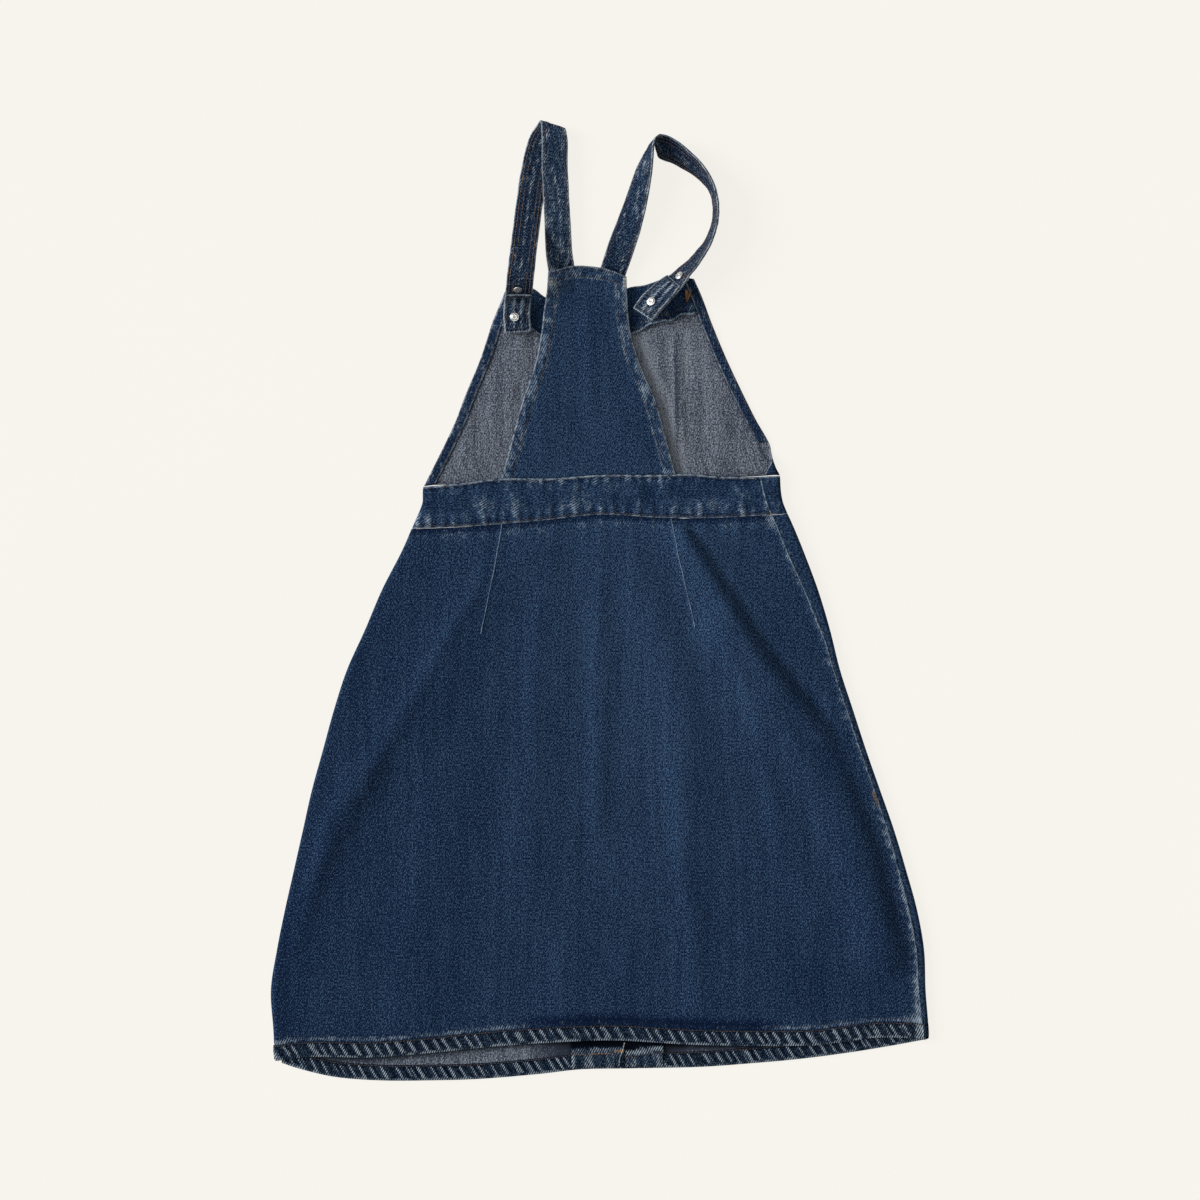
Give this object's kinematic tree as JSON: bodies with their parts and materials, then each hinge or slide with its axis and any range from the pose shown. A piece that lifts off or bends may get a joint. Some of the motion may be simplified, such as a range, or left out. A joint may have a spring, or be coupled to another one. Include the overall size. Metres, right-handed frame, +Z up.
{
  "type": "denim pinafore dress",
  "caption": "Long denim pinafore dress laid face down: flared skirt, waistband, tapering back bib, wider front bib under it, and straps that button to the front with tack buttons",
  "frame": {"origin": "middle of the dress's outline as seen from above, on the surface that it lies on", "axes": "+Z is up from that surface, out of the dress's back; +Y runs up the dress to the straps; +X runs to the wearer's right side, which is on the right as the back is looked at"},
  "size_m": [0.6572, 0.9591, 0.0381],
  "materials": {
    "denim": "washed indigo denim twill, right side, worn pale at its edges",
    "denim_inside": "grey wrong side of the same denim",
    "tack_metal": "plain satin metal"
  },
  "bodies": {
    "root": {"skirt_back": "denim", "skirt_front_left": "denim", "skirt_front_right": "denim", "front_facing_left": "denim", "front_facing_right": "denim", "waistband_back": "denim", "waistband_front": "denim", "bib_back": "denim", "bib_front": "denim_inside", "bib_top_facing": "denim", "armhole_facing_left": "denim", "armhole_facing_right": "denim", "strap_left": "denim", "strap_right": "denim", "tack_button_left_lower": "tack_metal", "tack_button_left_upper": "tack_metal", "tack_button_right_lower": "tack_metal", "tack_button_right_upper": "tack_metal", "tack_back_left_lower": "tack_metal", "tack_back_left_upper": "tack_metal", "tack_back_right_lower": "tack_metal", "tack_back_right_upper": "tack_metal"}
  },
  "joints": []
}
